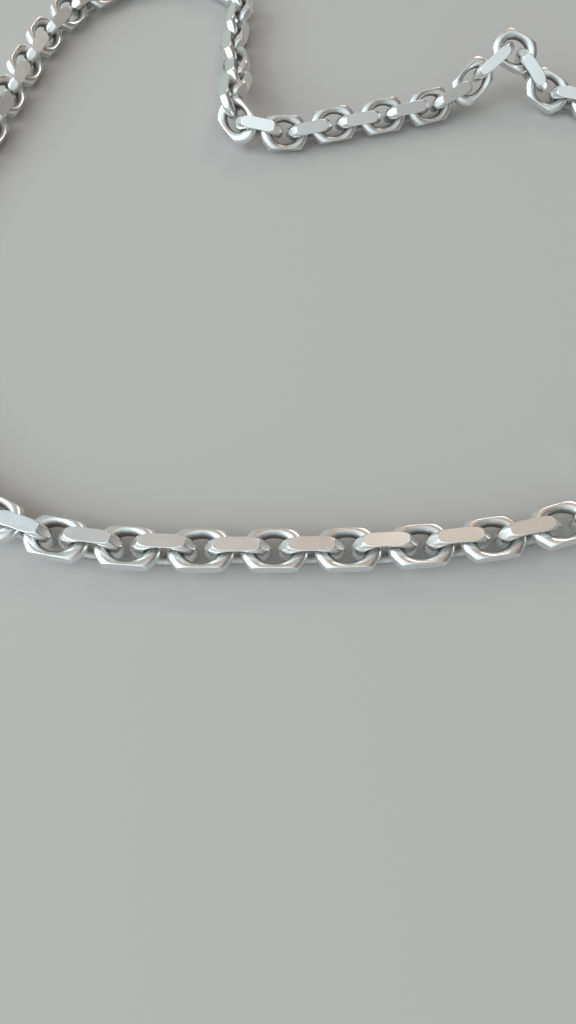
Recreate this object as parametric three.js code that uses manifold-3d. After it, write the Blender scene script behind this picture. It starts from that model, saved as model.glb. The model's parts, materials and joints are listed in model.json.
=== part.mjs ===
// A heavy silver pocket watch chain laid out in a long open S on a flat surface.
//
// Every link is an oval ring of round wire with flats filed on it: one along each long side and one
// across each of its four corners.  Each link hangs on the end bar of the link before it and stands
// square to it.  A T bar closes one end of the chain and a swivel clasp with a sprung gate the other.
//
// Units are millimetres and +Z is up.  The surface under the chain is z = 0.

import * as THREE from 'three';
import { mergeVertices } from 'three/addons/utils/BufferGeometryUtils.js';
import Module from 'manifold-3d';

const wasm = await Module();
wasm.setup();

// ---------------------------------------------------------------- driving dimensions

// One link, with its long axis along X, its side flats facing +Y and -Y, and its ring lying in XY.
const WIRE = 2.5;                       // diameter of the round wire
const LINK_LENGTH = 11.1;
const LINK_WIDTH = 6.8;                 // over the two side flats
const HOLE_WIDTH = 4.5;                 // at the middle of the link
const SIDE_FLAT = 7.1;                  // length of a side flat between its two corner flats
const CORNER_ANGLE = THREE.MathUtils.degToRad(52);   // from the side flat to a corner flat

const BAR_SPACING = LINK_LENGTH - WIRE; // between the centres of a link's two end bars
const SLACK = 0.16;                     // free play between two hooked links
const BITE = 0.14;                      // how deep two links of a joined run sink into each other

// Where the wire's sections stand round a quarter of a link, in degrees from its end to its middle.
// The one at 47 is where a corner flat meets a side flat.
const STATIONS = [0, 22, 47, 90];
const WIRE_SIDES = 8;
const JOINED_STATIONS = [0, 47, 90];
const JOINED_WIRE_SIDES = 6;
const JUMP_RING_STATIONS = [0, 30, 60, 90];

// The chain along its route, from the T bar to the clasp.  Links beyond the number that can each be
// a piece of their own are joined, a few at a time, into short stiff runs.
const STRETCHES = [
  { pieces: 17, linksEach: 1 },         // the near row
  { pieces: 3, linksEach: 5 },          // the left-hand bend
  { pieces: 5, linksEach: 2 },          // the stretch up the left side
  { pieces: 2, linksEach: 5 },          // the far bend
  { pieces: 25, linksEach: 1 },         // back towards the middle, round the corner, over the hump
];

// T bar
const T_BAR_LENGTH = 27;
const T_BAR_DIAMETER = 2.6;
const T_BAR_EYE_DIAMETER = 5.4;         // to the centre of its wire
const EYE_WIRE = 1.7;
// The turned end of the bar: distance from its tip, and radius.
const T_BAR_END = [[0, 0], [0.4, 1.4], [1.5, 2], [2.6, 1.4], [3.4, 1.04], [5, 1.3]];

// Jump rings
const JUMP_RING_DIAMETER = 6.6;         // to the centre of its wire
const JUMP_RING_WIRE = 1.5;

// Swivel clasp, along +X from its eye to the far end of its hook
const SWIVEL_EYE_DIAMETER = 5.6;        // to the centre of its wire
const STEM_DIAMETER = 1.7;
const STEM_HEAD_DIAMETER = 2.8;
const STEM_HEAD_LENGTH = 0.7;
const STEM_END = 7.9;
const CLEARANCE = 0.3;                  // between pieces of the clasp that move on each other
const BARREL_START = 4.4;
const BARREL_END = 11;
const BARREL_DIAMETER = 5;
const BARREL_COLLAR = { length: 0.8, from: 1.8, to: 1.95 };      // length along X and two radii
const BARREL_SHOULDER = 1.6;            // how far in from each end the barrel reaches its full width
const BARREL_NOSE = { length: 2, from: 2.1, to: 2 };
const SHOULDER_RISE = 0.6;              // of the bar that joins the barrel to the hook
const HOOK_CENTRE = 17.6;
const HOOK_RADIUS = 5.6;                // to the centre of the hook's bar
const HOOK_BAR = 2.2;
const HOOK_FROM = THREE.MathUtils.degToRad(152);
const HOOK_TO = THREE.MathUtils.degToRad(-52);
const LUG_THICKNESS = 3.4;
const LUG_RADIUS = 1.7;
const LUG_NECK = { length: 2.4, height: 3.2, setback: 0.5 };    // joins the lug to the barrel
const FORK_SLOT = { length: 6, height: 4.2, forward: 1.2, drop: 0.4 };
const PIN_PLAY = 0.1;                   // round the gate's pin, in the gate and in the lug
const GATE_PIVOT = new THREE.Vector2(12.4, -3.1);
const GATE_THICKNESS = 1.5;
const GATE_DEPTH = 1.2;                 // along the pin
const SPRING_LEAF = 0.2;                // thickness of the leaf spring
const SPRING_LENGTH = 1.8;
const SPRING_SETBACK = 0.6;             // of its middle behind the gate's pin
const SPRING_HEIGHT = 1.25;             // of its underside over the gate's pin
const PIN_DIAMETER = 0.9;

const SILVER = { color: 0xc9c7c0, roughness: 0.32, metalness: 1 };
const WORN_SILVER = { color: 0xb9b6ad, roughness: 0.4, metalness: 1 };
const SPRING_STEEL = { color: 0x8d9094, roughness: 0.35, metalness: 1 };

// The route of the chain's centre line: x, y, height above where it lies flat, and how far the
// chain is rolled about its own line, in degrees.
const REST_HEIGHT = LINK_WIDTH / 2;
const ROUTE = [
  [61, 7.6, -0.9, 0],
  [55, 5.4, 0.6, 0],
  [49, 3.6, 0.7, 0],
  [44, 2.4, 0, 2],
  [33, 0.8, 0, -3],
  [21, -0.2, 0, 3],
  [9, -0.6, 0, 0],
  [-3, -0.6, 0, -3],
  [-15, -0.6, 0, 2],
  [-27, 0.4, 0, 4],
  [-38, 2.6, 0, 0],
  [-48, 7.4, 0, 0],
  [-58, 15, 0.1, 8],
  [-67, 29, 0.15, 24],
  [-72, 47, 0, 38],
  [-73.5, 67, 0, 46],
  [-71, 86, 0, 48],
  [-65, 103, 0, 48],
  [-62.4, 118, 0, 48],
  [-59.8, 131, 0, 47],
  [-56.6, 143, 0, 46],
  [-50, 156, 0, 45],
  [-40, 165, 0.15, 42],
  [-28, 169, 0.25, 39],
  [-16, 166, 0.25, 36],
  [-8.6, 157, 0.15, 34],
  [-8.6, 145, 0, 32],
  [-9.4, 134, 0.1, 30],
  [-7.8, 124, 0.7, 28],
  [-7.8, 116, 2.6, 26],
  [-9, 109, 3.4, 27],
  [-7, 103.4, 2, 31],
  [-1.4, 101.8, 0.6, 37],
  [5, 103, 0.1, 43],
  [12, 104.8, 0, 46],
  [22, 107.4, 0, 47],
  [33, 110.6, 0, 46],
  [43, 114.4, 0.2, 45],
  [47.6, 117.6, 2, 44],
  [50.6, 120.6, 5.6, 42],
  [54.4, 122, 7.8, 42],
  [58.6, 120.6, 6.2, 43],
  [62.4, 118.2, 2.6, 44],
  [68, 116, 0.3, 43],
  [76, 114, 0, 40],
  [86, 112, 0.2, 30],
  [93, 111, 0.5, 20],
  [100, 110.4, 0, 4],
  [130, 109, -3, 0],
];

// ---------------------------------------------------------------- solids

function solidOf(geometry) {
  geometry.deleteAttribute('normal');
  geometry.deleteAttribute('uv');
  const merged = mergeVertices(geometry, 1e-4);
  return new wasm.Manifold(new wasm.Mesh({
    numProp: 3,
    vertProperties: new Float32Array(merged.attributes.position.array),
    triVerts: new Uint32Array(merged.index.array),
  }));
}

function geometryOf(solid) {
  const { vertProperties, triVerts } = solid.getMesh();
  const geometry = new THREE.BufferGeometry();
  geometry.setAttribute('position', new THREE.BufferAttribute(vertProperties, 3));
  geometry.setIndex(new THREE.BufferAttribute(triVerts, 1));
  return geometry;
}

// Fills the tiny gaps that two joined links can seal between them.
function outerShell(solid) {
  const shells = solid.decompose();
  return shells.reduce((a, b) => (b.volume() > a.volume() ? b : a));
}

// The angles of a whole turn whose four quarters are alike.
function wholeTurn(quarterDegrees) {
  const half = quarterDegrees.concat(quarterDegrees.slice(1, -1).reverse().map((a) => 180 - a));
  return half.concat(half.map((a) => a + 180)).map(THREE.MathUtils.degToRad);
}

// A closed oval ring of wire in the XY plane.  room(centre, outward) is how far the metal may reach
// outwards from the wire's centre before a filed flat cuts it off.
function wireRing({ length, width, wire, stations, sides, room = () => Infinity }) {
  const turn = wholeTurn(stations);
  const positions = [];
  const index = [];
  turn.forEach((u, i) => {
    const centre = new THREE.Vector2((length / 2) * Math.cos(u), (width / 2) * Math.sin(u));
    const outward = new THREE.Vector2(Math.cos(u) / length, Math.sin(u) / width).normalize();
    const most = room(centre, outward);
    for (let j = 0; j < sides; j++) {
      const around = (j / sides) * 2 * Math.PI;
      const out = Math.min((wire / 2) * Math.cos(around), most);
      const up = (wire / 2) * Math.sin(around);
      positions.push(centre.x + out * outward.x, centre.y + out * outward.y, up);
      const ahead = ((i + 1) % turn.length) * sides;
      const beside = (j + 1) % sides;
      index.push(i * sides + j, ahead + j, ahead + beside);
      index.push(i * sides + j, ahead + beside, i * sides + beside);
    }
  });
  const geometry = new THREE.BufferGeometry();
  geometry.setAttribute('position', new THREE.Float32BufferAttribute(positions, 3));
  geometry.setIndex(index);
  return geometry;
}

// How far the side and corner flats let the wire reach.  Both are planes square to XY.
function roomInsideFlats(centre, outward) {
  const corner = new THREE.Vector2(SIDE_FLAT / 2, LINK_WIDTH / 2);
  const normals = [
    new THREE.Vector2(0, 1),
    new THREE.Vector2(Math.sin(CORNER_ANGLE), Math.cos(CORNER_ANGLE)),
  ];
  const at = new THREE.Vector2(Math.abs(centre.x), Math.abs(centre.y));
  const towards = new THREE.Vector2(Math.abs(outward.x), Math.abs(outward.y));
  const reaches = normals
    .filter((normal) => normal.dot(towards) > 0.1)
    .map((normal) => normal.dot(corner.clone().sub(at)) / normal.dot(towards));
  return Math.min(...reaches);
}

function linkGeometry(stations, sides) {
  return wireRing({
    length: BAR_SPACING,
    width: HOLE_WIDTH + WIRE,
    wire: WIRE,
    stations,
    sides,
    room: roomInsideFlats,
  });
}

function ringGeometry(centreDiameter, wire) {
  return wireRing({
    length: centreDiameter,
    width: centreDiameter,
    wire,
    stations: JUMP_RING_STATIONS,
    sides: JOINED_WIRE_SIDES,
  });
}

// A cylinder along X from x = from to x = to.
function rodAlongX(diameter, from, to, sides = 16) {
  const rod = new THREE.CylinderGeometry(diameter / 2, diameter / 2, to - from, sides);
  return rod.rotateZ(Math.PI / 2).translate((from + to) / 2, 0, 0);
}

// A cylinder along Z through (x, y), centred on z = 0.
function rodAlongZ(diameter, length, at, sides = 8) {
  const rod = new THREE.CylinderGeometry(diameter / 2, diameter / 2, length, sides);
  return rod.rotateX(Math.PI / 2).translate(at.x, at.y, 0);
}

// A solid turned about X from a closed profile of [x, radius] points.
function turnedAlongX(profile, sides) {
  const points = profile.map(([x, radius]) => new THREE.Vector2(radius, x));
  return new THREE.LatheGeometry(points, sides).rotateZ(-Math.PI / 2);
}

function roundSection(diameter, sides) {
  const corners = Array.from({ length: sides }, (_, i) => {
    const angle = (i / sides) * 2 * Math.PI;
    return new THREE.Vector2((diameter / 2) * Math.cos(angle), (diameter / 2) * Math.sin(angle));
  });
  return new THREE.Shape(corners);
}

function sweptRod(curve, diameter, steps, sides) {
  const section = roundSection(diameter, sides);
  return new THREE.ExtrudeGeometry(section, { steps, extrudePath: curve, bevelEnabled: false });
}

// ---------------------------------------------------------------- T bar, in its own frame

// The eye is centred on the origin and the bar lies along Y beyond it.
function tBarGeometry() {
  const eye = solidOf(ringGeometry(T_BAR_EYE_DIAMETER, EYE_WIRE));
  const barX = T_BAR_EYE_DIAMETER / 2 + T_BAR_DIAMETER / 2;
  const half = T_BAR_LENGTH / 2;
  const profile = [
    ...T_BAR_END.map(([x, radius]) => [x - half, radius]),
    ...T_BAR_END.map(([x, radius]) => [half - x, radius]).reverse(),
  ];
  const bar = turnedAlongX(profile, 10).rotateZ(Math.PI / 2).translate(barX, 0, 0);
  return geometryOf(eye.add(solidOf(bar)));
}

// ---------------------------------------------------------------- swivel clasp, in its own frame

// The eye is centred on the origin.  Its stem runs along X into the barrel, where its head holds it.
function swivelEyeGeometry() {
  const eye = solidOf(ringGeometry(SWIVEL_EYE_DIAMETER, EYE_WIRE));
  const stem = solidOf(rodAlongX(STEM_DIAMETER, SWIVEL_EYE_DIAMETER / 2, STEM_END, 12));
  const head = solidOf(rodAlongX(STEM_HEAD_DIAMETER, STEM_END - STEM_HEAD_LENGTH, STEM_END, 12));
  return geometryOf(eye.add(stem).add(head));
}

function hookPoint(angle, radius = HOOK_RADIUS) {
  return new THREE.Vector3(HOOK_CENTRE + radius * Math.cos(angle), radius * Math.sin(angle), 0);
}

class HookArc extends THREE.Curve {
  getPoint(t, target = new THREE.Vector3()) {
    return target.copy(hookPoint(HOOK_FROM + t * (HOOK_TO - HOOK_FROM)));
  }
}

function barrel() {
  const outer = BARREL_DIAMETER / 2;
  const neck = STEM_DIAMETER / 2 + CLEARANCE;
  const chamber = STEM_HEAD_DIAMETER / 2 + CLEARANCE;
  const chamberStart = STEM_END - STEM_HEAD_LENGTH - CLEARANCE;
  const chamberEnd = STEM_END + CLEARANCE;
  return solidOf(turnedAlongX([
    [BARREL_START, neck],
    [BARREL_START, BARREL_COLLAR.from],
    [BARREL_START + BARREL_COLLAR.length, BARREL_COLLAR.to],
    [BARREL_START + BARREL_SHOULDER, outer],
    [BARREL_END - BARREL_SHOULDER, outer],
    [BARREL_END, BARREL_NOSE.from],
    [BARREL_END + BARREL_NOSE.length, BARREL_NOSE.to],
    [BARREL_END + BARREL_NOSE.length, 0],
    [chamberEnd, 0],
    [chamberEnd, chamber],
    [chamberStart, chamber],
    [chamberStart, neck],
    [BARREL_START, neck],
  ], 12));
}

function pinHole() {
  return solidOf(rodAlongZ(PIN_DIAMETER + 2 * PIN_PLAY, 2 * LUG_THICKNESS, GATE_PIVOT));
}

// Barrel, hook and the forked lug that carries the gate's pin.
function claspBodyGeometry() {
  const hook = solidOf(sweptRod(new HookArc(), HOOK_BAR, 14, 8));
  const root = hookPoint(HOOK_FROM);
  const shoulder = solidOf(sweptRod(
    new THREE.LineCurve3(new THREE.Vector3(BARREL_END, SHOULDER_RISE, 0), root), HOOK_BAR, 1, 8));
  const knuckle = solidOf(new THREE.SphereGeometry(HOOK_BAR / 2, 8, 6).translate(root.x, root.y, 0));
  const lug = solidOf(rodAlongZ(2 * LUG_RADIUS, LUG_THICKNESS, GATE_PIVOT, 12));
  const neck = solidOf(new THREE.BoxGeometry(LUG_NECK.length, LUG_NECK.height, LUG_THICKNESS)
    .translate(GATE_PIVOT.x - LUG_NECK.setback, GATE_PIVOT.y + LUG_NECK.height / 2, 0));
  const slot = solidOf(new THREE.BoxGeometry(FORK_SLOT.length, FORK_SLOT.height, 2 * GATE_DEPTH)
    .translate(GATE_PIVOT.x + FORK_SLOT.forward, GATE_PIVOT.y - FORK_SLOT.drop, 0));
  return geometryOf(barrel().add(hook).add(shoulder).add(knuckle).add(neck).add(lug)
    .subtract(slot).subtract(pinHole()));
}

// The gate swings on its pin.  Shut, its tip bears on the inside of the hook's point.
function gateGeometry() {
  const tip = hookPoint(HOOK_TO, HOOK_RADIUS - HOOK_BAR / 2 - CLEARANCE - GATE_THICKNESS / 2);
  const length = Math.hypot(tip.x - GATE_PIVOT.x, tip.y - GATE_PIVOT.y);
  const angle = Math.atan2(tip.y - GATE_PIVOT.y, tip.x - GATE_PIVOT.x);
  const outline = new THREE.Shape();
  outline.moveTo(0, -GATE_THICKNESS / 2);
  outline.lineTo(length, -GATE_THICKNESS / 2);
  outline.absarc(length, 0, GATE_THICKNESS / 2, -Math.PI / 2, Math.PI / 2, false);
  outline.lineTo(0, GATE_THICKNESS / 2);
  outline.absarc(0, 0, GATE_THICKNESS / 2, Math.PI / 2, (3 * Math.PI) / 2, false);
  const depth = GATE_DEPTH;
  const bar = new THREE.ExtrudeGeometry(outline, { depth, bevelEnabled: false, curveSegments: 6 });
  bar.translate(0, 0, -depth / 2).rotateZ(angle).translate(GATE_PIVOT.x, GATE_PIVOT.y, 0);
  return geometryOf(solidOf(bar).subtract(pinHole()));
}

function gatePinGeometry() {
  return rodAlongZ(PIN_DIAMETER, LUG_THICKNESS, GATE_PIVOT);
}

// A leaf spring under the roof of the fork, over the gate's round heel.
function gateSpringGeometry() {
  const leaf = new THREE.Shape();
  const sag = SPRING_LEAF / 2;
  leaf.moveTo(-SPRING_LENGTH / 2, 0);
  leaf.quadraticCurveTo(0, -sag, SPRING_LENGTH / 2, 0);
  leaf.lineTo(SPRING_LENGTH / 2, SPRING_LEAF);
  leaf.quadraticCurveTo(0, SPRING_LEAF - sag, -SPRING_LENGTH / 2, SPRING_LEAF);
  const depth = GATE_DEPTH;
  const spring = new THREE.ExtrudeGeometry(leaf, { depth, bevelEnabled: false, curveSegments: 4 });
  return spring.translate(GATE_PIVOT.x - SPRING_SETBACK, GATE_PIVOT.y + SPRING_HEIGHT, -depth / 2);
}

// ---------------------------------------------------------------- placing pieces along the route

const routeCurve = new THREE.CatmullRomCurve3(
  ROUTE.map(([x, y, lift]) => new THREE.Vector3(x, y, REST_HEIGHT + lift)), false, 'centripetal');
const ROUTE_SAMPLES = 4000;
const routeSamples = routeCurve.getPoints(ROUTE_SAMPLES);
const UP = new THREE.Vector3(0, 0, 1);

// The first place on the route, from sample number from on, that is reach away from a point.
function samplePastReach(point, reach, from) {
  let k = from;
  while (k < ROUTE_SAMPLES && routeSamples[k].distanceTo(point) < reach) k++;
  return k;
}

function rollAt(sample) {
  const position = (sample / ROUTE_SAMPLES) * (ROUTE.length - 1);
  const k = Math.min(Math.floor(position), ROUTE.length - 2);
  const roll = THREE.MathUtils.lerp(ROUTE[k][3], ROUTE[k + 1][3], position - k);
  return THREE.MathUtils.degToRad(roll);
}

// Walks along the route and gives each ring-shaped piece its place, hooked on the one before.
class Walk {
  constructor() {
    this.sample = 0;
    this.turned = 0;
    this.last = null;
  }

  // spacing: between the piece's end bars.  wire: its wire's diameter.  play: the free gap to the
  // piece before it, below 0 where the two are fused.  roll: extra turn about its own long axis.
  next({ spacing, wire, play = SLACK, roll = 0 }) {
    const first = this.last === null;
    const start = first ? routeSamples[0].clone() : this.hookPoint(this.last.heading, wire, play);
    this.sample = samplePastReach(start, spacing, this.sample);
    const heading = routeSamples[this.sample].clone().sub(start).normalize();
    if (!first) {
      const { lateral } = this.last;
      const swung = heading.clone().addScaledVector(lateral, -heading.dot(lateral)).normalize();
      start.copy(this.hookPoint(swung, wire, play));
    }
    const level = new THREE.Vector3().crossVectors(UP, heading).normalize();
    const normal = new THREE.Vector3().crossVectors(heading, level)
      .applyAxisAngle(heading, rollAt(this.sample) + roll + this.turned * (Math.PI / 2));
    const lateral = new THREE.Vector3().crossVectors(normal, heading);
    const centre = start.clone().addScaledVector(heading, spacing / 2);
    const end = start.clone().addScaledVector(heading, spacing);
    this.turned = 1 - this.turned;
    this.last = { centre, heading, lateral, normal, start, end, wire };
    return this.last;
  }

  // The centre of the next piece's first bar, if it pulls towards heading.
  hookPoint(heading, wire, play) {
    return this.last.end.clone().addScaledVector(heading, -(this.last.wire / 2 + wire / 2 + play));
  }
}

function matrixOf({ centre, heading, lateral, normal }) {
  return new THREE.Matrix4().makeBasis(heading, lateral, normal).setPosition(centre);
}

// ---------------------------------------------------------------- the assembly

const laidChain = new THREE.Group();

// pivot is the bar that the piece swings on, on the piece before it: a point on it and its axis.
function addPiece(name, geometry, matrix, finish, pivot = null) {
  const mesh = new THREE.Mesh(geometry, new THREE.MeshStandardMaterial(finish));
  mesh.name = name;
  mesh.userData.pivot = pivot;
  mesh.applyMatrix4(matrix);
  laidChain.add(mesh);
}

const twoDigits = (number) => String(number).padStart(2, '0');
const walk = new Walk();

function endBar() {
  return { point: walk.last.end.clone(), axis: walk.last.lateral.clone() };
}

// T bar and its jump ring, laid before the first link.
const tBarPlace = walk.next({ spacing: T_BAR_EYE_DIAMETER, wire: EYE_WIRE });
const tBarTurn = new THREE.Matrix4().makeRotationZ(Math.PI);
addPiece('t_bar', tBarGeometry(), matrixOf(tBarPlace).multiply(tBarTurn), SILVER);
const jumpRing = ringGeometry(JUMP_RING_DIAMETER, JUMP_RING_WIRE);
const jumpRingSize = { spacing: JUMP_RING_DIAMETER, wire: JUMP_RING_WIRE };
const tBarEye = endBar();
addPiece('t_bar_jump_ring', jumpRing.clone(), matrixOf(walk.next(jumpRingSize)), SILVER, tBarEye);

// The links, single or in joined runs.
const singleLink = linkGeometry(STATIONS, WIRE_SIDES);
const joinedLink = linkGeometry(JOINED_STATIONS, JOINED_WIRE_SIDES);
let linkNumber = 0;

// A slight lean of each link about its long axis, as a worn chain has.
function leanOf(number) {
  return THREE.MathUtils.degToRad(2.5 * Math.sin(2.3 * number));
}

function placeOfNextLink(play) {
  linkNumber += 1;
  return walk.next({ spacing: BAR_SPACING, wire: WIRE, play, roll: leanOf(linkNumber) });
}

function addSingleLink() {
  const pivot = endBar();
  const matrix = matrixOf(placeOfNextLink(SLACK));
  addPiece(`link_${twoDigits(linkNumber)}`, singleLink.clone(), matrix, SILVER, pivot);
}

// A run's first and last links are as fine as a single one, because a neighbour swings on them.
function addJoinedLinks(count) {
  const pivot = endBar();
  const first = linkNumber + 1;
  const last = linkNumber + count;
  let run = null;
  while (linkNumber < last) {
    const place = placeOfNextLink(run === null ? SLACK : -BITE);
    const shape = run === null || linkNumber === last ? singleLink : joinedLink;
    const link = solidOf(shape.clone().applyMatrix4(matrixOf(place)));
    run = run === null ? link : run.add(link);
  }
  const name = `links_${twoDigits(first)}_to_${twoDigits(last)}`;
  addPiece(name, geometryOf(outerShell(run)), new THREE.Matrix4(), SILVER, pivot);
}

for (const { pieces, linksEach } of STRETCHES) {
  for (let piece = 0; piece < pieces; piece++) {
    if (linksEach === 1) addSingleLink();
    else addJoinedLinks(linksEach);
  }
}

// Jump ring and swivel clasp after the last link.
const lastLinkEnd = endBar();
const claspRingMatrix = matrixOf(walk.next(jumpRingSize));
addPiece('clasp_jump_ring', jumpRing.clone(), claspRingMatrix, SILVER, lastLinkEnd);
const ringEnd = endBar();
const claspPlace = walk.next({ spacing: SWIVEL_EYE_DIAMETER, wire: EYE_WIRE });
const claspFrame = matrixOf(claspPlace);
const stemPivot = { point: claspPlace.centre, axis: claspPlace.heading };
const gatePivot = {
  point: new THREE.Vector3(GATE_PIVOT.x, GATE_PIVOT.y, 0).applyMatrix4(claspFrame),
  axis: claspPlace.normal,
};
addPiece('swivel_eye', swivelEyeGeometry(), claspFrame, SILVER, ringEnd);
addPiece('clasp_body', claspBodyGeometry(), claspFrame, SILVER, stemPivot);
addPiece('clasp_gate', gateGeometry(), claspFrame, WORN_SILVER, gatePivot);
addPiece('gate_pin', gatePinGeometry(), claspFrame, SPRING_STEEL);
addPiece('gate_spring', gateSpringGeometry(), claspFrame, SPRING_STEEL);

// The finished part has its origin on the surface, under the middle of the laid-out chain.
const bounds = new THREE.Box3().setFromObject(laidChain, true);
const middle = bounds.getCenter(new THREE.Vector3());
laidChain.position.set(-middle.x, -middle.y, -bounds.min.z);

const watchChain = new THREE.Group();
watchChain.name = 'pocket_watch_chain';
watchChain.add(laidChain);

export default watchChain;
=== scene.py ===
"""The looks of a heavy silver pocket watch chain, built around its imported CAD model.

Every link is a fine mesh of its own, laid where the CAD link lies and riding on its body.  The T bar,
the jump rings and the swivel clasp are fine meshes too.  Lengths in this file are millimetres until
mesh_object() or a matrix turns them into metres.  Each piece's points are moved to where it lies, and the
attribute OWN_PLACE keeps where they were in the piece's own frame, which its materials go by.
"""

import json
import math

import bmesh
import bpy
import numpy as np
from mathutils import Matrix, Vector, kdtree


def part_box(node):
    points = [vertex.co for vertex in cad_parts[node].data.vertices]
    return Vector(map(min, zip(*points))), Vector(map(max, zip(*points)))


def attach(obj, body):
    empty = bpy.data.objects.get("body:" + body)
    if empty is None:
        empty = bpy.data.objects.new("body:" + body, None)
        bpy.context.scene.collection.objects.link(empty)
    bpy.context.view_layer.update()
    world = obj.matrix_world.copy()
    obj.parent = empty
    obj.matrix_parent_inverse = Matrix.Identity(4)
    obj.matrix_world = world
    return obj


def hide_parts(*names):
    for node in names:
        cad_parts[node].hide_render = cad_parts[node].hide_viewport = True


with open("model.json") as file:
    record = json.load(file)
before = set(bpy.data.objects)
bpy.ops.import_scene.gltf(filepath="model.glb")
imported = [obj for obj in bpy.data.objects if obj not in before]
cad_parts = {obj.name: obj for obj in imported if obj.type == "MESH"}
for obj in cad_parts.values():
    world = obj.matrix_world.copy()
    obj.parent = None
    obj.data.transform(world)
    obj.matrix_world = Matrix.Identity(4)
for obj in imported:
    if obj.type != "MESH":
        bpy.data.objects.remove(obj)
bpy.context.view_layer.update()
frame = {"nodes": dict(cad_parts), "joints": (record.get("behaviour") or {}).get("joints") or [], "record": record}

MM = 0.001
SCENE = bpy.context.scene
NODES = frame["nodes"]
JOINTS = {joint["name"]: joint for joint in frame["joints"]}
NODE_BODY = {
    node: body
    for body, members in frame["record"]["behaviour"]["bodies"].items()
    for node in members
}

# ---------------------------------------------------------------- driving dimensions, in millimetres

# One link, with its long axis along X, its side flats facing +Y and -Y, and its ring lying in XY.
WIRE = 2.5
LINK_LENGTH = 11.1
LINK_WIDTH = 6.8
HOLE_WIDTH = 4.5
SIDE_FLAT = 7.5                         # 7.1 in the coarser CAD links, whose corner flats are wider
CORNER_ANGLE = math.radians(52)
BAR_SPACING = LINK_LENGTH - WIRE
RING_X = BAR_SPACING / 2
RING_Y = (HOLE_WIDTH + WIRE) / 2
EDGE = 0.07                             # width of the worn edge round a flat
CORNER_MIDDLE = math.radians(32)        # turn round the link, from its tip, to the middle of a corner flat

T_BAR_LENGTH = 27
T_BAR_DIAMETER = 2.6
COLLAR_REACH = 1.7                      # from the bar's middle to the start of a collar
T_BAR_EYE_DIAMETER = 5.4                # rings are given by the circle their wire's centre follows
EYE_WIRE = 1.7
JUMP_RING_DIAMETER = 6.6
JUMP_RING_WIRE = 1.5
SWIVEL_EYE_DIAMETER = 5.6
STEM_DIAMETER = 1.7
STEM_HEAD_DIAMETER = 2.8
STEM_HEAD_THICKNESS = 0.7
STEM_END = 7.9
CLEARANCE = 0.3
BARREL_START = 4.4
BARREL_END = 11
BARREL_DIAMETER = 5
HOOK_CENTRE = 17.6
HOOK_RADIUS = 5.6
HOOK_BAR = 2.2
HOOK_FROM = math.radians(152)
HOOK_TO = math.radians(-52)
LUG_THICKNESS = 3.4
LUG_RADIUS = 1.7
LUG_NECK_LENGTH = 2.4
LUG_NECK_HEIGHT = 3.2
LUG_NECK_SETBACK = 0.5
FORK_HEIGHT = 1.7                       # from the gate's pin up to the roof of the fork
SHOULDER_RISE = 0.6
PIN_PLAY = 0.1
GATE_PIVOT = np.array([12.4, -3.1])     # in the clasp's frame, whose X axis is the swivel's
GATE_THICKNESS = 1.5
GATE_DEPTH = 1.2
SPRING_LEAF = 0.2
SPRING_LENGTH = 1.8
SPRING_SETBACK = 0.6
SPRING_HEIGHT = 1.25
PIN_DIAMETER = 0.9


# ---------------------------------------------------------------- meshes

OWN_PLACE = "own_place"                 # attribute: where a point lies in its piece's own frame
RECESS_SHADE_SHARE = "recess_shade"                   # attribute: how much painted shade a point gets, most where the wire faces the link's hole, from 0 to 1


def mesh_object(name, points, faces, materials, face_material=None, flat=None, values=None):
    """A mesh from points in millimetres.  values maps an attribute's name to one number for each point."""
    mesh = bpy.data.meshes.new(name)
    mesh.from_pydata([tuple(p) for p in np.asarray(points) * MM], [], [tuple(f) for f in faces])
    for material in materials:
        mesh.materials.append(material)
    flat = flat or [False] * len(faces)
    mesh.polygons.foreach_set("use_smooth", [not f for f in flat])
    if face_material is not None:
        mesh.polygons.foreach_set("material_index", list(face_material))
    for key, numbers in (values or {}).items():
        attribute = mesh.attributes.new(key, "FLOAT", "POINT")
        attribute.data.foreach_set("value", np.asarray(numbers, np.float32))
    own_place = mesh.attributes.new(OWN_PLACE, "FLOAT_VECTOR", "POINT")
    own_place.data.foreach_set("vector", np.asarray(points, np.float32).ravel())
    mesh.update()
    thing = bpy.data.objects.new(name, mesh)
    SCENE.collection.objects.link(thing)
    return thing


def grid_faces(rows, columns, row_wraps=True, column_wraps=True):
    """The quads of a grid of points, row after row."""
    faces = []
    for i in range(rows if row_wraps else rows - 1):
        for j in range(columns if column_wraps else columns - 1):
            ahead = (i + 1) % rows
            beside = (j + 1) % columns
            faces.append((i * columns + j, ahead * columns + j,
                          ahead * columns + beside, i * columns + beside))
    return faces


def spline_ring(centres, outwards, ups, sections):
    """The points of a closed tube: sections[i] is a list of (out, up) offsets at centre i."""
    points = []
    for centre, outward, up, section in zip(centres, outwards, ups, sections):
        points.extend(centre + out * outward + lift * up for out, lift in section)
    return np.array(points)


# ---------------------------------------------------------------- materials

def new_material(name):
    material = bpy.data.materials.new(name)
    material.use_nodes = True
    tree = material.node_tree
    return material, tree, tree.nodes["Principled BSDF"]


def node(tree, kind, inputs=None, **settings):
    made = tree.nodes.new(kind)
    for key, value in settings.items():
        setattr(made, key, value)
    for key, value in (inputs or {}).items():
        if isinstance(value, bpy.types.NodeSocket):
            tree.links.new(value, made.inputs[key])
        else:
            made.inputs[key].default_value = value
    return made


def object_millimetres(tree, stretch=(1, 1, 1)):
    """A point's place in the piece's own frame, in millimetres times stretch."""
    place = node(tree, "ShaderNodeAttribute", attribute_name=OWN_PLACE).outputs["Vector"]
    return node(tree, "ShaderNodeVectorMath", {0: place, 1: stretch}, operation="MULTIPLY").outputs[0]


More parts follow.
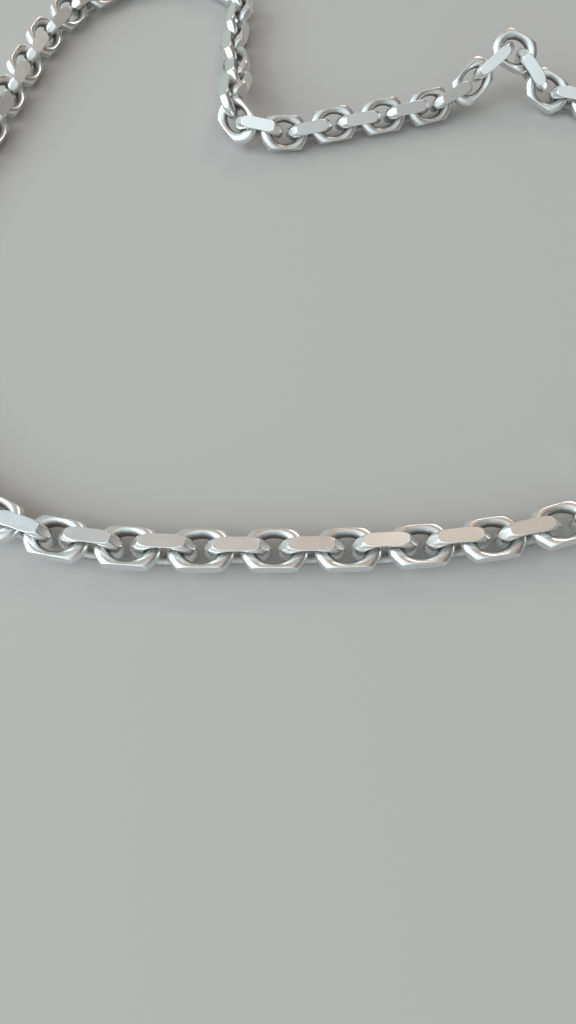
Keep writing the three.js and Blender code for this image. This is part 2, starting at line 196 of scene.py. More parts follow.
def noise(tree, place, scale, detail=3.0, roughness=0.55, distortion=0.0):
    """Noise with features of about 1/scale millimetres, different on every piece."""
    seed = node(tree, "ShaderNodeObjectInfo").outputs["Random"]
    shift = node(tree, "ShaderNodeMath", {0: seed, 1: 37.0}, operation="MULTIPLY").outputs[0]
    return node(tree, "ShaderNodeTexNoise", {
        "Vector": place, "W": shift, "Scale": scale, "Detail": detail, "Roughness": roughness,
        "Distortion": distortion}, noise_dimensions="4D").outputs["Fac"]


def ranged(tree, value, low, high, new_low, new_high):
    return node(tree, "ShaderNodeMapRange", {
        "Value": value, "From Min": low, "From Max": high, "To Min": new_low, "To Max": new_high},
        interpolation_type="SMOOTHSTEP").outputs["Result"]


def mixed(tree, factor, first, second):
    mix = node(tree, "ShaderNodeMix", data_type="RGBA")
    for socket, value in ((mix.inputs[0], factor), (mix.inputs[6], first), (mix.inputs[7], second)):
        if isinstance(value, bpy.types.NodeSocket):
            tree.links.new(value, socket)
        else:
            socket.default_value = value
    return mix.outputs[2]


def added(tree, *values):
    total = values[0]
    for value in values[1:]:
        total = node(tree, "ShaderNodeMath", {0: total, 1: value}, operation="ADD").outputs[0]
    return total


def times(tree, value, by):
    return node(tree, "ShaderNodeMath", {0: value, 1: by}, operation="MULTIPLY").outputs[0]


def bumped(tree, shader, height, distance_mm, strength):
    bump = node(tree, "ShaderNodeBump",
                {"Height": height, "Distance": distance_mm * MM, "Strength": strength})
    tree.links.new(bump.outputs["Normal"], shader.inputs["Normal"])


SILVER = (0.88, 0.885, 0.875, 1)
WARM_SILVER = (0.80, 0.77, 0.725, 1)
# painted shade: the dark brown laid where the wire faces a link's hole
PAINTED_RECESS_SHADE = (0.17, 0.145, 0.12, 1)
RUBBED_SILVER = (0.95, 0.94, 0.92, 1)
STEEL = (0.50, 0.51, 0.53, 1)
DARK_STEEL = (0.36, 0.36, 0.37, 1)


def scratched(tree, field, low, high):
    """-1 in the thin lines where a noise field goes over low to high, and 0 elsewhere."""
    return ranged(tree, field, low, high, 0.0, -1.0)


def facet_silver(name, grain=(9, 1, 1)):
    """Filed and fly-cut flats: satin, with fine parallel cutter lines and a few hairline scratches.
    grain is how fast the lines change along the piece's own X, Y and Z."""
    material, tree, shader = new_material(name)
    lines = noise(tree, object_millimetres(tree, grain), 1.6, detail=4, roughness=0.7)
    hair = noise(tree, object_millimetres(tree, (0.5, 6, 14)), 1.1, detail=2, roughness=0.8,
                 distortion=0.6)
    cloud = noise(tree, object_millimetres(tree), 0.45, detail=3)
    stain = ranged(tree, cloud, 0.42, 0.78, 0.0, 0.30)
    shader.inputs["Metallic"].default_value = 1.0
    tree.links.new(mixed(tree, stain, SILVER, WARM_SILVER), shader.inputs["Base Color"])
    satin = added(tree, ranged(tree, lines, 0.3, 0.7, 0.30, 0.40),
                  ranged(tree, cloud, 0.3, 0.7, 0.0, 0.08))
    tree.links.new(satin, shader.inputs["Roughness"])
    relief = added(tree, lines, times(tree, scratched(tree, hair, 0.62, 0.66), 0.5))
    bumped(tree, shader, relief, 0.004, 0.55)
    return material


def round_silver(name):
    """Drawn wire that was tumbled bright: semi-polished, with painted brown shade where it faces the link's hole.
    """
    material, tree, shader = new_material(name)
    place = object_millimetres(tree)
    cloud = noise(tree, place, 0.5, detail=4)
    peel = noise(tree, place, 2.2, detail=3)
    scratch = noise(tree, object_millimetres(tree, (7, 1.5, 4)), 1.4, detail=3, roughness=0.75,
                    distortion=0.8)
    # painted shade: darker, browner and rougher where the wire faces the link's hole, blotched by noise
    recess_shading = node(tree, "ShaderNodeAttribute", attribute_name=RECESS_SHADE_SHARE).outputs["Fac"]
    painted_shade = ranged(tree, added(tree, recess_shading, times(tree, cloud, 0.5)), 0.42, 1.25, 0.0, 0.86)
    bright = mixed(tree, ranged(tree, cloud, 0.4, 0.75, 0.0, 0.35), SILVER, WARM_SILVER)
    shader.inputs["Metallic"].default_value = 1.0
    tree.links.new(mixed(tree, painted_shade, bright, PAINTED_RECESS_SHADE), shader.inputs["Base Color"])
    polish = added(tree, ranged(tree, peel, 0.3, 0.7, 0.23, 0.33), times(tree, painted_shade, 0.30))
    tree.links.new(polish, shader.inputs["Roughness"])
    relief = added(tree, times(tree, peel, 0.5), times(tree, scratched(tree, scratch, 0.64, 0.70), 0.3))
    bumped(tree, shader, relief, 0.003, 0.4)
    return material


def edge_silver(name):
    """The narrow worn edge round a flat, rubbed to a bright line."""
    material, tree, shader = new_material(name)
    wear = noise(tree, object_millimetres(tree), 1.8, detail=2)
    shader.inputs["Metallic"].default_value = 1.0
    warmth = ranged(tree, wear, 0.4, 0.7, 0.0, 0.25)
    tree.links.new(mixed(tree, warmth, RUBBED_SILVER, WARM_SILVER), shader.inputs["Base Color"])
    tree.links.new(ranged(tree, wear, 0.3, 0.7, 0.10, 0.2), shader.inputs["Roughness"])
    return material


def spring_steel(name):
    material, tree, shader = new_material(name)
    drawn = noise(tree, object_millimetres(tree, (1, 6, 6)), 1.5, detail=3)
    shader.inputs["Metallic"].default_value = 1.0
    tree.links.new(mixed(tree, drawn, STEEL, DARK_STEEL), shader.inputs["Base Color"])
    tree.links.new(ranged(tree, drawn, 0.3, 0.7, 0.25, 0.4), shader.inputs["Roughness"])
    bumped(tree, shader, drawn, 0.004, 0.5)
    return material


FACET = facet_silver("facet_silver")
ROUND = round_silver("round_silver")
WORN_EDGE = edge_silver("edge_silver")
SPRING = spring_steel("spring_steel")
TURNED = facet_silver("turned_silver", grain=(14, 0.6, 0.6))
WORN = facet_silver("worn_silver", grain=(1, 1, 12))


# ---------------------------------------------------------------- one link

ROUND_STEPS = 6                         # stations from the link's tip to its corner flat
CORNER_STEPS = (0.01, 0.07, 0.18, 0.34, 0.5, 0.66, 0.82, 0.93, 1.0)     # stations along a corner flat
SIDE_STEPS = (0.0, 0.03, 0.08, 0.15, 0.24, 0.36, 0.5, 0.66, 0.83, 1.0)  # and along half a side flat
FLAT_COLUMNS = 6                        # points across a flat
ROUND_SIDES = 20                        # points round the rest of the wire
NARROWEST = 0.22                        # half the angle of the flat's columns where the wire is still round
FLAT_SLOT, ROUND_SLOT, EDGE_SLOT = 0, 1, 2
SHADE_AT_TIPS = 0.35                     # share of the painted shade that is left on the end bars


def corner_line():
    """Where a corner flat meets a side flat, in the link's XY plane, and the two flats' normals."""
    corner = np.array([SIDE_FLAT / 2, LINK_WIDTH / 2])
    side = np.array([0.0, 1.0])
    slant = np.array([math.sin(CORNER_ANGLE), math.cos(CORNER_ANGLE)])
    return corner, side, slant


def ring_station(u):
    """The wire's centre at angle u round the link, and the way out of the ring there."""
    centre = np.array([RING_X * math.cos(u), RING_Y * math.sin(u)])
    outward = np.array([math.cos(u) / RING_X, math.sin(u) / RING_Y])
    return centre, outward / np.linalg.norm(outward)


def room_to(normal, u):
    """How far out from the wire's centre the flat with this normal lies, at an angle u of up to 90."""
    corner, _, _ = corner_line()
    centre, outward = ring_station(u)
    return float(normal @ (corner - centre) / (normal @ outward))


def where(test, low, high):
    """The angle between low and high at which test changes from false to true."""
    for _ in range(50):
        middle = (low + high) / 2
        low, high = (low, middle) if test(middle) else (middle, high)
    return high


def quarter_stations():
    """The stations of a quarter turn from the link's tip to its middle, each with the flat that cuts it."""
    _, side, slant = corner_line()
    corner_from = where(lambda u: room_to(slant, u) < WIRE / 2, 0.0, CORNER_MIDDLE)
    corner_to = where(lambda u: room_to(slant, u) > WIRE / 2, CORNER_MIDDLE, math.radians(60))
    side_from = where(lambda u: room_to(side, u) < WIRE / 2, math.radians(30), math.radians(60))
    between = [((corner_to + side_from) / 2, None)]
    if side_from < corner_to:
        meet = where(lambda u: room_to(side, u) < room_to(slant, u), side_from, corner_to)
        corner_to = meet - EDGE / 2 / RING_X
        side_from = meet + EDGE / 2 / RING_X
        between = []
    return ([(u, None) for u in np.linspace(0.0, corner_from, ROUND_STEPS)]
            + [(corner_from + (corner_to - corner_from) * s, slant) for s in CORNER_STEPS]
            + between
            + [(side_from + (math.pi / 2 - side_from) * s, side) for s in SIDE_STEPS])


def link_section(room):
    """(out, up) offsets round the wire: across the flat, then over the worn edges and the round part."""
    radius = WIRE / 2
    crease = math.acos(max(-1.0, min(1.0, room / radius)))
    half = max(math.asin(max(0.0, math.sin(crease) - EDGE / radius)), NARROWEST)
    start = max(crease + EDGE / radius, half + 0.5 * NARROWEST)
    flat = [(min(room, radius * math.cos(a)), radius * math.sin(a))
            for a in np.linspace(-half, half, FLAT_COLUMNS)]
    arc = np.linspace(start, 2 * math.pi - start, ROUND_SIDES)
    return flat + [(radius * math.cos(a), radius * math.sin(a)) for a in arc]


def link_parts():
    """Points, faces, each face's material, whether it is flat, and the points' painted shade, of a fine link."""
    quarter = quarter_stations()
    half = quarter + [(math.pi - u, normal) for u, normal in quarter[-2::-1]]
    turn = half + [(u + math.pi, normal) for u, normal in half[1:-1]]
    columns = FLAT_COLUMNS + ROUND_SIDES
    centres, outwards, sections, cut = [], [], [], []
    for u, normal in turn:
        folded = abs(math.remainder(u, math.pi))
        centre, outward = ring_station(u)
        centres.append(np.array([*centre, 0.0]))
        outwards.append(np.array([*outward, 0.0]))
        sections.append(link_section(WIRE / 2 if normal is None else room_to(normal, folded)))
        cut.append(None if normal is None else tuple(normal))
    ups = [np.array([0.0, 0.0, 1.0])] * len(turn)
    points = spline_ring(centres, outwards, ups, sections)
    faces = grid_faces(len(turn), columns)
    materials, flat = [], []
    for i in range(len(turn)):
        same = cut[i] is not None and cut[i] == cut[(i + 1) % len(turn)]
        edge = cut[i] is not None and cut[(i + 1) % len(turn)] is not None
        for j in range(columns):
            across = j < FLAT_COLUMNS - 1
            beside = j in (FLAT_COLUMNS - 1, columns - 1)
            on_flat = across and same
            on_edge = edge and (across or beside)
            materials.append(FLAT_SLOT if on_flat else EDGE_SLOT if on_edge else ROUND_SLOT)
            flat.append(on_flat)
    # painted shade: strongest on the wire's side towards the hole, weaker on the end bars
    recess_shade = []
    for centre, section in zip(centres, sections):
        side = abs(centre[1]) / RING_Y
        shade_weight = SHADE_AT_TIPS + (1 - SHADE_AT_TIPS) * side
        recess_shade.extend(max(0.0, -out / (WIRE / 2)) * shade_weight for out, _ in section)
    return points, faces, materials, flat, recess_shade


# ---------------------------------------------------------------- where the CAD links lie

def rigid(x_axis, y_axis, z_axis, origin):
    """A 4 x 4 matrix with these axes, all in the part's frame."""
    matrix = Matrix.Identity(4)
    for column, vector in enumerate((x_axis, y_axis, z_axis, origin)):
        for row in range(3):
            matrix[row][column] = float(vector[row])
    return matrix


def vertices_of(node_name):
    """The different corner points of a CAD node, in millimetres."""
    points = np.array([v.co for v in NODES[node_name].data.vertices]) / MM
    return np.unique(np.round(points, 4), axis=0)


def principal_place(points):
    """Origin and axes of a solid that is its own mirror image three ways: longest along X, thinnest in Z."""
    origin = points.mean(0)
    _, _, axes = np.linalg.svd(points - origin)
    return origin, np.array([axes[0], axes[1], np.cross(axes[0], axes[1])])


def outline_marks():
    """Points that every CAD link has in its own plane, on its outline and round its hole."""
    marks = []
    for degrees in (0, 47, 90, 133, 180, 227, 270, 313):
        centre, outward = ring_station(math.radians(degrees))
        side_flat = (LINK_WIDTH / 2 - abs(centre[1])) / max(abs(outward[1]), 0.01)
        for out in (min(WIRE / 2, side_flat), -WIRE / 2):
            marks.append([*(centre + out * outward), 0])
    return np.array(marks)


MARKS = outline_marks()
FITTED = 0.05                           # a mark closer than this to a corner point lies on it
MARKS_NEEDED = 11                       # the others may be sunk in the next link
MARKS_TO_FIT_BY = 6
FIRST_REACH = 2.2                       # how far a mark looks for its corner point in the first round
REACH_STEP = 0.1                        # and how much less in each later one
LAST_SWING = 40                         # degrees that a run bends by at most between two links
SWING_STEP = 8


def settle(tree, origin, axes, rounds=25):
    """Moves a guessed link onto the nearest corner points.  Returns how many marks fit, and its place."""
    for turn in range(rounds):
        placed = MARKS @ axes + origin
        found = [tree.find(p) for p in placed]
        reach = max(FITTED, FIRST_REACH - REACH_STEP * turn)
        near = [k for k, (_, _, distance) in enumerate(found) if distance < reach]
        if len(near) < MARKS_TO_FIT_BY:
            break
        here = MARKS[near]
        there = np.array([found[k][0] for k in near])
        left, _, right = np.linalg.svd((here - here.mean(0)).T @ (there - there.mean(0)))
        spin = np.diag([1, 1, np.linalg.det(left @ right)])
        axes = left @ spin @ right
        origin = there.mean(0) - here.mean(0) @ axes
    fitting = sum(tree.find(p)[2] < FITTED for p in MARKS @ axes + origin)
    return fitting, origin, axes


def next_links_guesses(origin, axes):
    """Places that the link after this one may have: square to it, straight on or swung to either side."""
    heading, lateral, normal = axes
    end = origin + heading * RING_X
    swings = sorted(range(-LAST_SWING, LAST_SWING + 1, SWING_STEP), key=abs)
    for yaw in swings:
        for pitch in swings:
            swing = (Matrix.Rotation(math.radians(yaw), 3, Vector(normal))
                     @ Matrix.Rotation(math.radians(pitch), 3, Vector(lateral)))
            ahead, across, up = (np.array(swing @ Vector(v)) for v in (heading, normal, -lateral))
            yield end + ahead * (RING_X - WIRE), np.array([ahead, across, up])


def places_of_links():
    """Each link's number, CAD node, origin and axes, from the T bar to the clasp."""
    before = None
    for node_name in sorted((n for n in NODES if n.startswith("link")), key=lambda n: n.split("_")[1]):
        numbers = [int(part) for part in node_name.split("_") if part.isdigit()]
        points = vertices_of(node_name)
        if len(numbers) == 1:
            origin, axes = principal_place(points)
            if before is not None and axes[0] @ (origin - before) < 0:
                axes = np.array([-axes[0], axes[1], -axes[2]])
            before = origin
            yield numbers[0], node_name, origin, axes
            continue
        tree = kdtree.KDTree(len(points))
        for k, point in enumerate(points):
            tree.insert(Vector(point), k)
        tree.balance()
        for number in range(numbers[0], numbers[1] + 1):
            tries = (settle(tree, *guess) for guess in next_links_guesses(origin, axes))
            fitting, origin, axes = max(tries, key=lambda found: found[0])
            if fitting < MARKS_NEEDED:
                raise RuntimeError(f"link {number} wasn't found in {node_name}")
            before = origin
            yield number, node_name, origin, axes


def build_links():
    points, faces, materials, flat, recess_shade = link_parts()
    # each link's points carry their painted shade as an attribute
    pattern = mesh_object("link_pattern", points, faces, [FACET, ROUND, WORN_EDGE], materials, flat,
                          {RECESS_SHADE_SHARE: recess_shade})
    for number, node_name, origin, axes in places_of_links():
        link = bpy.data.objects.new(f"silver_link_{number:02d}", pattern.data.copy())
        SCENE.collection.objects.link(link)
        link.data.transform(rigid(*axes, origin * MM))
        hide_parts(node_name)
        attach(link, NODE_BODY[node_name])
    bpy.data.objects.remove(pattern)


build_links()

# ---------------------------------------------------------------- shapes of the fittings

def ring_of_wire(diameter, wire, steps=48, sides=18):
    """Points and faces of a round ring of round wire in the XY plane."""
    turn = np.linspace(0, 2 * math.pi, steps, endpoint=False)
    around = np.linspace(0, 2 * math.pi, sides, endpoint=False)
    outwards = [np.array([math.cos(u), math.sin(u), 0.0]) for u in turn]
    section = [(wire / 2 * math.cos(a), wire / 2 * math.sin(a)) for a in around]
    centres = [diameter / 2 * outward for outward in outwards]
    points = spline_ring(centres, outwards, [np.array([0.0, 0.0, 1.0])] * steps, [section] * steps)
    return points, grid_faces(steps, sides)


def turned(profile, along="X", sides=56):
    """Points and faces of a solid turned about the X or Y axis from a profile of (place, radius) points."""
    angles = np.linspace(0, 2 * math.pi, sides, endpoint=False)
    rows = []
    for place, radius in profile:
        for a in angles:
            across = (radius * math.cos(a), radius * math.sin(a))
            rows.append((place, *across) if along == "X" else (across[1], place, across[0]))
    faces = grid_faces(len(profile), sides, row_wraps=False)
    first = tuple(range(sides))
    last = tuple(len(rows) - sides + k for k in reversed(range(sides)))
    closed = profile[0] == profile[-1]
    return np.array(rows), faces if closed else [*faces, first, last]


def plate(outline, centre, hole, low, high, bevel=0.12):
    """Points and faces of a plate with a round hole.  outline goes round the hole's centre."""
    points = []
    for corner in outline:
        reach = np.array(corner) - centre
        length = np.linalg.norm(reach)
        section = [(hole / 2, low), (length - bevel, low), (length, low + bevel),
                   (length, high - bevel), (length - bevel, high), (hole / 2, high)]
        points.extend([*(centre + reach / length * out), level] for out, level in section)
    return np.array(points), [face[::-1] for face in grid_faces(len(outline), 6)]


def tube(centres, radii, side, sides=18):
    """Points and faces of a bar of changing radius along a path that is square to side."""
    centres = np.array(centres)
    headings = np.gradient(centres, axis=0)
    around = np.linspace(0, 2 * math.pi, sides, endpoint=False)
    points = []
    for centre, heading, radius in zip(centres, headings, radii):
        out = np.cross(side, heading / np.linalg.norm(heading))
        points.extend(centre + radius * (math.cos(a) * out + math.sin(a) * side) for a in around)
    faces = grid_faces(len(centres), sides, row_wraps=False)
    last = len(points) - sides
    return np.array(points), [*faces, tuple(range(sides))[::-1], tuple(range(last, last + sides))]


def block(low, high, bevel=0.15):
    """Points and faces of a box whose edges are cut off."""
    low, high = np.array(low), np.array(high)
    shape = bmesh.new()
    bmesh.ops.create_cube(shape, size=1)
    for corner in shape.verts:
        corner.co = Vector((low + high) / 2 + np.array(corner.co) * (high - low))
    bmesh.ops.bevel(shape, geom=shape.edges, offset=bevel, segments=2, profile=0.5, affect="EDGES")
    shape.verts.index_update()
    points = np.array([corner.co for corner in shape.verts])
    faces = [tuple(corner.index for corner in face.verts) for face in shape.faces]
    shape.free()
    return points, faces


CREASE = math.radians(32)
SAME_POINT = 1e-7                       # metres: a ring of points on the axis of a turned shape is one point


def add_fitting(name, node_name, slot, place, *shapes):
    """One piece from several (points, faces, material) shapes, laid at place over its CAD node."""
    points, faces, materials, chosen = [], [], [], []
    for shape_points, shape_faces, material in shapes:
        if material not in materials:
            materials.append(material)
        chosen += [materials.index(material)] * len(shape_faces)
        faces += [tuple(len(points) + k for k in face) for face in shape_faces]
        points.extend(shape_points)
    piece = mesh_object(name, points, faces, materials, chosen)
    fix = bmesh.new()
    fix.from_mesh(piece.data)
    bmesh.ops.remove_doubles(fix, verts=fix.verts, dist=SAME_POINT)
    bmesh.ops.recalc_face_normals(fix, faces=fix.faces)
    fix.to_mesh(piece.data)
    fix.free()
    piece.data.set_sharp_from_angle(angle=CREASE)
    piece.data.transform(place)
    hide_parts(node_name)
    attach(piece, NODE_BODY[node_name])


def joint_line(name):
    """A joint's place in millimetres and its axis."""
    joint = JOINTS[name]
    return np.array(joint["pos_m"]) / MM, np.array(joint["axis"])


# ---------------------------------------------------------------- T bar and jump rings

def t_bar_shapes():
    eye = ring_of_wire(T_BAR_EYE_DIAMETER, EYE_WIRE)
    waist = T_BAR_DIAMETER / 2
    knob = [(0, 0), (0.08, 0.55), (0.3, 1.05), (0.7, 1.55), (1.15, 1.85), (1.5, 1.94), (1.85, 1.85),
            (2.3, 1.55), (2.6, 1.3), (2.9, 1.08), (3.1, 1.0)]
    bead = [(3.3, 1.0), (3.4, 1.16), (3.6, 1.2), (3.75, 1.06), (4.1, 1.1), (5, waist)]
    collar = [(0, waist), (0.05, waist + 0.16), (0.5, waist + 0.2), (0.55, waist + 0.04),
              (0.75, waist + 0.04), (0.8, waist + 0.24)]
    half = T_BAR_LENGTH / 2
    side = ([(x - half, radius) for x, radius in knob + bead]
            + [(x - COLLAR_REACH, radius) for x, radius in collar])
    profile = side + [(-x, radius) for x, radius in reversed(side)]
    bar, bar_faces = turned(profile, along="Y")
    bar[:, 0] += (T_BAR_EYE_DIAMETER + T_BAR_DIAMETER) / 2
    return (*eye, ROUND), (bar, bar_faces, TURNED)


def build_t_bar():
    bar_end, lateral = joint_line("t_bar_eye_hinge")
    heading = bar_end - vertices_of("t_bar").mean(0)
    heading /= np.linalg.norm(heading)
    eye = bar_end - heading * T_BAR_EYE_DIAMETER / 2
    place = rigid(-heading, -lateral, np.cross(heading, lateral), eye * MM)
    add_fitting("t_bar_and_eye", "t_bar", "silver", place, *t_bar_shapes())


def build_jump_rings():
    shape = (*ring_of_wire(JUMP_RING_DIAMETER, JUMP_RING_WIRE), ROUND)
    for node_name in ("t_bar_jump_ring", "clasp_jump_ring"):
        origin, axes = principal_place(vertices_of(node_name))
        add_fitting(f"{node_name}_fine", node_name, "silver", rigid(*axes, origin * MM), shape)


# ---------------------------------------------------------------- swivel clasp

def hook_point(angle, radius=HOOK_RADIUS):
    return np.array([HOOK_CENTRE + radius * math.cos(angle), radius * math.sin(angle), 0.0])


def swivel_eye_shapes():
    stem = STEM_DIAMETER / 2
    head = STEM_HEAD_DIAMETER / 2
    start = SWIVEL_EYE_DIAMETER / 2
    root = [(start, stem + 0.5), (start + 0.7, stem + 0.42), (start + 0.95, stem + 0.16),
            (start + 1.3, stem)]
    under_head = STEM_END - STEM_HEAD_THICKNESS
    profile = root + [(under_head, stem), (under_head, head - 0.1), (under_head + 0.1, head),
                      (STEM_END - 0.15, head), (STEM_END, head - 0.15)]
    return (*ring_of_wire(SWIVEL_EYE_DIAMETER, EYE_WIRE), ROUND), (*turned(profile), TURNED)


def barrel_profile():
    outer = BARREL_DIAMETER / 2
    neck = STEM_DIAMETER / 2 + CLEARANCE
    chamber = STEM_HEAD_DIAMETER / 2 + CLEARANCE
    chamber_start = STEM_END - STEM_HEAD_THICKNESS - CLEARANCE
    start = (BARREL_START, neck)
    collar = [(0.0, 0.9), (0.12, 0.75), (0.75, 0.58), (0.85, 0.72), (1.0, 0.72), (1.1, 0.5), (1.35, 0.2),
              (1.6, 0.05), (1.9, 0)]
    groove = [(0, 0), (0.06, 0.12), (0.2, 0.12), (0.26, 0)]
    grooves = [(start_x + x, cut) for start_x in (2.3, 4.1) for x, cut in groove]
    nose = [(4.8, 0), (5.1, 0.05), (5.6, 0.2), (6.2, 0.34), (6.6, 0.42), (7.6, 0.5), (8.3, 0.62),
            (8.55, 0.85), (8.6, outer)]
    outside = [(BARREL_START + x, outer - cut) for x, cut in collar + grooves + nose]
    inside = [(STEM_END + CLEARANCE, 0), (STEM_END + CLEARANCE, chamber),
              (chamber_start, chamber), (chamber_start, neck), start]
    return [start] + outside + inside


def hook_shape():
    """A bar bent round the watch's bow, thinner towards its rounded point."""
    bar = HOOK_BAR / 2
    steps, taper_from = 30, 18
    thinner = 0.2
    tip = 0.13                          # angle that the rounded point takes up
    sweep = np.linspace(HOOK_FROM, HOOK_TO + tip, steps)
    taper = [bar * (1 - thinner * max(0.0, k - taper_from) / (steps - taper_from)) for k in range(steps)]
    cap = np.linspace(0, 1, 6)[1:]
    sweep = np.concatenate([sweep, HOOK_TO + tip * (1 - cap)])
    taper += [taper[-1] * math.sqrt(1 - 0.97 * c * c) for c in cap]
    shoulder = [np.array([BARREL_END + s, SHOULDER_RISE + s * 0.4, 0.0]) for s in (0.0, 0.5)]
    path = shoulder + [hook_point(angle) for angle in sweep]
    return tube(path, [bar, bar] + taper, np.array([0.0, 0.0, 1.0]))


def circle(centre, radius, start, end, steps):
    return [(centre[0] + radius * math.cos(a), centre[1] + radius * math.sin(a))
            for a in np.radians(np.linspace(start, end, steps))]


def clasp_body_shapes():
    """Barrel, hook and the fork of two cheeks under a roof."""
    left = GATE_PIVOT[0] - LUG_NECK_LENGTH / 2 - LUG_NECK_SETBACK
    right = left + LUG_NECK_LENGTH
    meet = math.degrees(math.acos((right - GATE_PIVOT[0]) / LUG_RADIUS))
    roof = GATE_PIVOT[1] + FORK_HEIGHT
    cheek = [(left, roof + 0.2), *circle(GATE_PIVOT, LUG_RADIUS, 180, 360 + meet, 30), (right, roof + 0.2)]
    hole = PIN_DIAMETER + 2 * PIN_PLAY
    half = LUG_THICKNESS / 2
    return (
        (*turned(barrel_profile()), TURNED),
        (*hook_shape(), ROUND),
        (*plate(cheek, GATE_PIVOT, hole, GATE_DEPTH, half), FACET),
        (*plate(cheek, GATE_PIVOT, hole, -half, -GATE_DEPTH), FACET),
        (*block((left, roof, -half), (right, GATE_PIVOT[1] + LUG_NECK_HEIGHT, half)), FACET),
    )


def gate_shape():
    """The gate: a flat bar with two round ends that turns on the pin."""
    tip = hook_point(HOOK_TO, HOOK_RADIUS - HOOK_BAR / 2 - CLEARANCE - GATE_THICKNESS / 2)[:2]
    reach = tip - GATE_PIVOT
    bearing = math.degrees(math.atan2(reach[1], reach[0]))
    heel = circle(GATE_PIVOT, GATE_THICKNESS / 2, bearing + 90, bearing + 270, 16)
    end = circle(tip, GATE_THICKNESS / 2, bearing - 90, bearing + 90, 16)
    middle = [tuple(np.array(heel[-1]) + reach * s) for s in (0.2, 0.4, 0.6, 0.8)]
    back = [tuple(np.array(heel[0]) + reach * s) for s in (0.8, 0.6, 0.4, 0.2)]
    outline = heel + middle + end + back
    return plate(outline, GATE_PIVOT, PIN_DIAMETER + 2 * PIN_PLAY, -GATE_DEPTH / 2, GATE_DEPTH / 2)


def pin_shape():
    radius = PIN_DIAMETER / 2
    half = LUG_THICKNESS / 2
    profile = [(-half, radius - 0.12), (-half + 0.08, radius), (half - 0.08, radius), (half, radius - 0.12)]
    points, faces = turned(profile, sides=32)
    points = points[:, [2, 1, 0]]
    points[:, :2] += GATE_PIVOT
    return points, faces


def spring_shape():
    """The leaf spring over the gate's heel, a little bowed downwards."""
    steps = 13
    section = [(1, 0.0), (1, 1.0), (-1, 1.0), (-1, 0.0)]
    points = []
    for s in np.linspace(-1, 1, steps):
        x = GATE_PIVOT[0] - SPRING_SETBACK + s * SPRING_LENGTH / 2
        y = GATE_PIVOT[1] + SPRING_HEIGHT - (1 - s * s) * SPRING_LEAF / 4
        points.extend((x, y + up * SPRING_LEAF, across * GATE_DEPTH / 2) for across, up in section)
    faces = grid_faces(steps, 4, row_wraps=False)
    last = len(points) - 1
    return np.array(points), [*faces, (0, 1, 2, 3), (last, last - 1, last - 2, last - 3)]


def build_clasp():
    origin, heading = joint_line("clasp_swivel")
    _, normal = joint_line("gate_hinge")
    place = rigid(heading, np.cross(normal, heading), normal, origin * MM)
    add_fitting("clasp_eye", "swivel_eye", "silver", place, *swivel_eye_shapes())
    add_fitting("clasp_hook", "clasp_body", "silver", place, *clasp_body_shapes())
    add_fitting("clasp_lever", "clasp_gate", "worn_silver", place, (*gate_shape(), WORN))
    add_fitting("lever_pin", "gate_pin", "spring_steel", place, (*pin_shape(), SPRING))
    add_fitting("leaf_spring", "gate_spring", "spring_steel", place, (*spring_shape(), SPRING))


build_t_bar()
build_jump_rings()
build_clasp()

# ---------------------------------------------------------------- camera, light and floor

EYE_HEIGHT = 101.4                      # above the surface
EYE_BACK = 39.4                         # behind the near row
EYE_RIGHT = 2.2                         # of the middle of link 9
LOOK_DOWN = math.radians(64.65)
LENS = 22.85
FILM = 36
NEAREST, FARTHEST = 0.002, 5            # metres that the camera sees between


def middle_of(node_name):
    low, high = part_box(node_name)
    return (low + high) / 2


def add_camera():
    data = bpy.data.cameras.new("camera")
    data.lens = LENS
    data.sensor_width = FILM
    data.clip_start = NEAREST
    data.clip_end = FARTHEST
    camera = bpy.data.objects.new("camera", data)
    SCENE.collection.objects.link(camera)
    near_row = middle_of("link_09")
    camera.location = (near_row.x + EYE_RIGHT * MM, near_row.y - EYE_BACK * MM, EYE_HEIGHT * MM)
    camera.rotation_euler = (math.pi / 2 - LOOK_DOWN, 0, 0)
    SCENE.camera = camera


def add_softbox(name, place, size, power, colour):
    """A soft lamp at place that shines on the middle of the frame."""
    data = bpy.data.lights.new(name, "AREA")
    data.shape = "RECTANGLE"
    data.size, data.size_y = size
    data.energy = power
    data.color = colour
    light = bpy.data.objects.new(name, data)
    SCENE.collection.objects.link(light)
    light.location = place
    light.rotation_euler = (-Vector(place)).to_track_quat("-Z", "Y").to_euler()


FLOOR_COLOUR = (0.50, 0.475, 0.455, 1)
FLOOR_SIZE = 6                          # metres


def add_floor():
    material, _, shader = new_material("floor")
    shader.inputs["Base Color"].default_value = FLOOR_COLOUR
    shader.inputs["Roughness"].default_value = 0.85
    bpy.ops.mesh.primitive_plane_add(size=FLOOR_SIZE, location=(0, 0, 0))
    floor = bpy.context.object
    floor.name = "floor"
    floor.data.materials.append(material)


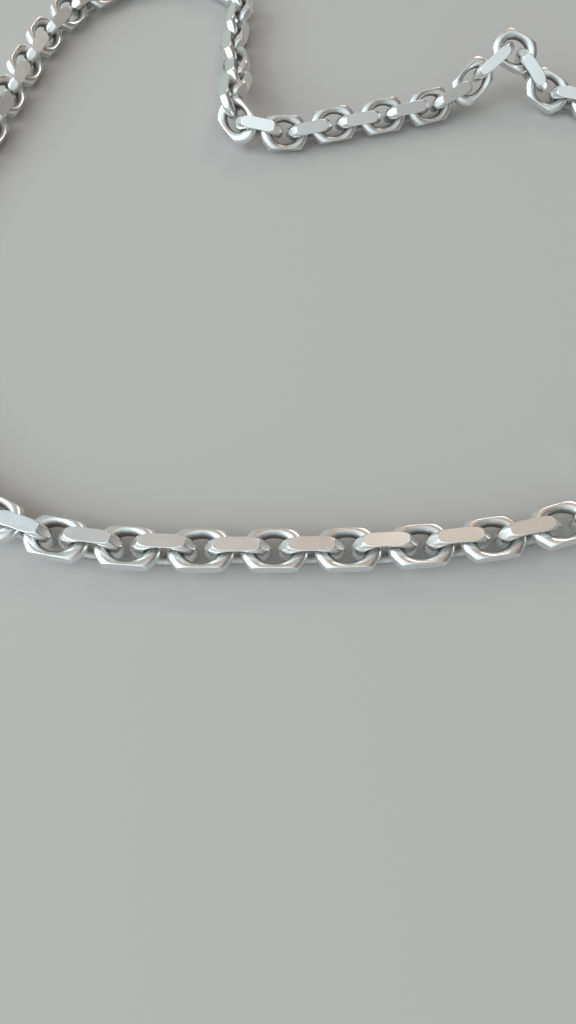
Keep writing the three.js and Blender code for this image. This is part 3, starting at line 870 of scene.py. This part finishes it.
FAR_SIDE = (0.50, 0.56, 0.53)
OVERHEAD = (0.72, 0.74, 0.74)
DIM_SIDE = (0.20, 0.18, 0.17)
WINDOW_SIDE = (1.05, 1.22, 1.30)
CEILING = (0.56, 0.43, 0.33)            # what the near row's side flats mirror
LEFT_CEILING = (0.46, 0.60, 0.70)
OVERHEAD_FROM, OVERHEAD_TO = 0.55, 0.8  # height on the unit sphere
ROOM_LIGHT = 0.9
# Each patch covers the one before: its colour, its direction, and the cosines of the angles at which it
# begins and is full.
PATCHES = (
    (DIM_SIDE, (1, 0.1, 0.1), 0.3, 0.85),
    (WINDOW_SIDE, (-0.7, -0.6, 0.35), 0.2, 0.75),
    (CEILING, (0.1, 0.42, 0.9), 0.80, 0.92),
    (LEFT_CEILING, (-0.45, 0.38, 0.82), 0.95, 0.985),
)


def add_world():
    """A room to mirror: pale far side and overhead, dim right, bright left and two patches of ceiling."""
    world = bpy.data.worlds.new("studio")
    world.use_nodes = True
    tree = world.node_tree
    direction = node(tree, "ShaderNodeTexCoord").outputs["Generated"]
    height = node(tree, "ShaderNodeSeparateXYZ", {0: direction}).outputs["Z"]
    upper = ranged(tree, height, OVERHEAD_FROM, OVERHEAD_TO, 0.0, 1.0)
    room = mixed(tree, upper, (*FAR_SIDE, 1), (*OVERHEAD, 1))
    for colour, way, begins, full in PATCHES:
        nearness = node(tree, "ShaderNodeVectorMath", {0: direction, 1: Vector(way).normalized()},
                        operation="DOT_PRODUCT").outputs["Value"]
        room = mixed(tree, ranged(tree, nearness, begins, full, 0.0, 1.0), room, (*colour, 1))
    tree.links.new(room, tree.nodes["Background"].inputs["Color"])
    tree.nodes["Background"].inputs["Strength"].default_value = ROOM_LIGHT
    SCENE.world = world


add_camera()
add_floor()
add_world()
add_softbox("window", place=(-0.70, -0.25, 0.50), size=(0.7, 0.5), power=4, colour=(0.84, 0.95, 1.0))
add_softbox("lamp", place=(0.35, 0.7, 0.75), size=(0.35, 0.35), power=1.2, colour=(1.0, 0.97, 0.92))

SCENE.view_settings.view_transform = "Standard"
